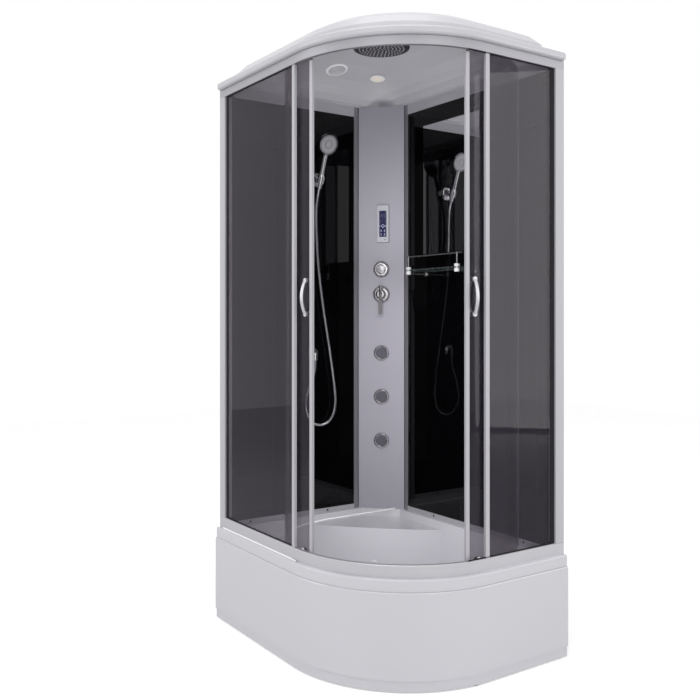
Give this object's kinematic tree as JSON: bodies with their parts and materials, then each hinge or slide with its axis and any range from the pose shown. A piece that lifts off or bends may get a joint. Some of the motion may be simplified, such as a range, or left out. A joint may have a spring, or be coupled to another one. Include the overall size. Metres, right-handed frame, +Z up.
{
  "type": "steam shower cabin",
  "caption": "Asymmetric quadrant steam shower cabin with a deep seat tray, curved sliding doors, black glass walls, a control column, hand shower and domed roof.",
  "frame": {"origin": "on the floor under the middle of the tray's width and depth", "axes": "+Z up; +Y from the front towards the room's back wall, square to the long side; +X to the right along the long side; the room's corner is at -X, +Y"},
  "size_m": [1.0046, 0.8046, 2.15],
  "materials": {
    "white_acrylic": "glossy",
    "painted_steel": "satin",
    "zinc_steel": "satin",
    "black_plastic": "matte",
    "grey_plastic": "matte",
    "chrome": "polished",
    "satin_aluminium": "satin",
    "black_glass": "glossy",
    "tinted_glass": "glossy",
    "clear_glass": "glossy",
    "mirror": "polished",
    "brass": "satin",
    "brushed_steel": "brushed",
    "display_glass": "glossy",
    "lamp_plastic": "glossy",
    "roller_plastic": "matte"
  },
  "bodies": {
    "cabin": {"tray_shell": "white_acrylic", "apron_panel": "white_acrylic", "tray_frame": "painted_steel", "tray_legs": "zinc_steel", "foot_pads": "black_plastic", "drain_body": "grey_plastic", "column_panel": "satin_aluminium", "side_wall_glass": "black_glass", "back_wall_glass": "black_glass", "column_trims": "satin_aluminium", "wall_base_trims": "satin_aluminium", "wall_top_trims": "satin_aluminium", "wall_mirror": "mirror", "glass_shelf": "clear_glass", "shelf_hardware": "chrome", "valve_bodies": "brass", "valve_escutcheons": "chrome", "jet_housings": "chrome", "shower_wall_fittings": "chrome", "shower_hose": "chrome", "control_bezel": "satin_aluminium", "control_display": "display_glass", "steam_outlet": "white_acrylic", "steam_generator": "brushed_steel", "service_pipes": "grey_plastic", "roof_shell": "white_acrylic", "rain_head": "chrome", "speaker": "white_acrylic", "ceiling_lamp": "lamp_plastic", "bottom_rail": "satin_aluminium", "top_rail": "satin_aluminium", "left_post": "satin_aluminium", "right_post": "satin_aluminium", "left_fixed_glass": "tinted_glass", "right_fixed_glass": "tinted_glass", "pane_edge_profiles": "satin_aluminium"},
    "left_door": {"left_door_glass": "tinted_glass", "left_door_profile": "satin_aluminium", "left_door_handle": "chrome", "left_door_hangers": "chrome"},
    "left_front_roller": {"left_front_roller": "roller_plastic"},
    "left_rear_roller": {"left_rear_roller": "roller_plastic"},
    "left_guide_roller": {"left_guide_roller": "roller_plastic"},
    "right_door": {"right_door_glass": "tinted_glass", "right_door_profile": "satin_aluminium", "right_door_handle": "chrome", "right_door_hangers": "chrome"},
    "right_front_roller": {"right_front_roller": "roller_plastic"},
    "right_rear_roller": {"right_rear_roller": "roller_plastic"},
    "right_guide_roller": {"right_guide_roller": "roller_plastic"},
    "mixer_cap": {"mixer_cap": "chrome"},
    "mixer_lever": {"mixer_lever": "chrome"},
    "diverter_knob": {"diverter_knob": "chrome"},
    "upper_jet_nozzle": {"upper_jet_nozzle": "chrome"},
    "middle_jet_nozzle": {"middle_jet_nozzle": "chrome"},
    "lower_jet_nozzle": {"lower_jet_nozzle": "chrome"},
    "shower_cradle": {"shower_cradle": "chrome", "hand_shower": "chrome", "spray_face": "grey_plastic"},
    "drain_cover": {"drain_cover": "chrome"}
  },
  "joints": [
    {"name": "left_door", "type": "hinge", "parent": "cabin", "child": "left_door", "pos_m": [0.06, 0.04, 0.341], "axis": [0, 0, 1], "range_deg": [-0.3, 36.4]},
    {"name": "left_front_roller", "type": "hinge", "parent": "left_door", "child": "left_front_roller", "pos_m": [0.07011, -0.37368, 1.9833], "axis": [0.0244, -0.9997, 0], "range_deg": [-1679, 19]},
    {"name": "left_rear_roller", "type": "hinge", "parent": "left_door", "child": "left_rear_roller", "pos_m": [0.00527, -0.37017, 1.9833], "axis": [-0.1323, -0.9912, 0], "range_deg": [-1679, 19]},
    {"name": "left_guide_roller", "type": "hinge", "parent": "left_door", "child": "left_guide_roller", "pos_m": [0.06968, -0.35618, 0.3543], "axis": [0.0244, -0.9997, 0], "range_deg": [-2066, 22]},
    {"name": "right_door", "type": "hinge", "parent": "cabin", "child": "right_door", "pos_m": [0.06, 0.04, 0.341], "axis": [0, 0, -1], "range_deg": [-0.3, 36.4]},
    {"name": "right_front_roller", "type": "hinge", "parent": "right_door", "child": "right_front_roller", "pos_m": [0.47368, 0.02989, 1.9833], "axis": [0.9997, -0.0244, 0], "range_deg": [-19, 1679]},
    {"name": "right_rear_roller", "type": "hinge", "parent": "right_door", "child": "right_rear_roller", "pos_m": [0.47016, 0.09473, 1.9833], "axis": [0.9912, 0.1323, 0], "range_deg": [-19, 1679]},
    {"name": "right_guide_roller", "type": "hinge", "parent": "right_door", "child": "right_guide_roller", "pos_m": [0.45618, 0.03032, 0.3543], "axis": [0.9997, -0.0244, 0], "range_deg": [-22, 2066]},
    {"name": "mixer_turn", "type": "hinge", "parent": "cabin", "child": "mixer_cap", "pos_m": [-0.40575, 0.30575, 1.228], "axis": [0.7071, -0.7071, 0], "range_deg": [-50, 50]},
    {"name": "mixer_lift", "type": "hinge", "parent": "mixer_cap", "child": "mixer_lever", "pos_m": [-0.39019, 0.29019, 1.228], "axis": [-0.7071, -0.7071, 0], "range_deg": [0, 22]},
    {"name": "diverter_turn", "type": "hinge", "parent": "cabin", "child": "diverter_knob", "pos_m": [-0.40575, 0.30575, 1.332], "axis": [0.7071, -0.7071, 0], "range_deg": [-90, 90]},
    {"name": "upper_jet_swivel", "type": "hinge", "parent": "cabin", "child": "upper_jet_nozzle", "pos_m": [-0.40575, 0.30575, 0.985], "axis": [0.7071, 0.7071, 0], "range_deg": [-12, 12]},
    {"name": "middle_jet_swivel", "type": "hinge", "parent": "cabin", "child": "middle_jet_nozzle", "pos_m": [-0.40575, 0.30575, 0.804], "axis": [0.7071, 0.7071, 0], "range_deg": [-12, 12]},
    {"name": "lower_jet_swivel", "type": "hinge", "parent": "cabin", "child": "lower_jet_nozzle", "pos_m": [-0.40575, 0.30575, 0.622], "axis": [0.7071, 0.7071, 0], "range_deg": [-12, 12]},
    {"name": "cradle_tilt", "type": "hinge", "parent": "cabin", "child": "shower_cradle", "pos_m": [-0.45443, 0.022, 1.69089], "axis": [0, 1, 0], "range_deg": [-15, 0]},
    {"name": "drain_cover_lift", "type": "slide", "parent": "cabin", "child": "drain_cover", "axis": [0, 0, 1], "range_m": [0, 0.02]}
  ],
  "couplings": [
    {"joint": "left_front_roller", "follows": "left_door", "ratio": -45.978},
    {"joint": "left_rear_roller", "follows": "left_door", "ratio": -45.978},
    {"joint": "left_guide_roller", "follows": "left_door", "ratio": -56.614},
    {"joint": "right_front_roller", "follows": "right_door", "ratio": 45.978},
    {"joint": "right_rear_roller", "follows": "right_door", "ratio": 45.978},
    {"joint": "right_guide_roller", "follows": "right_door", "ratio": 56.614}
  ]
}
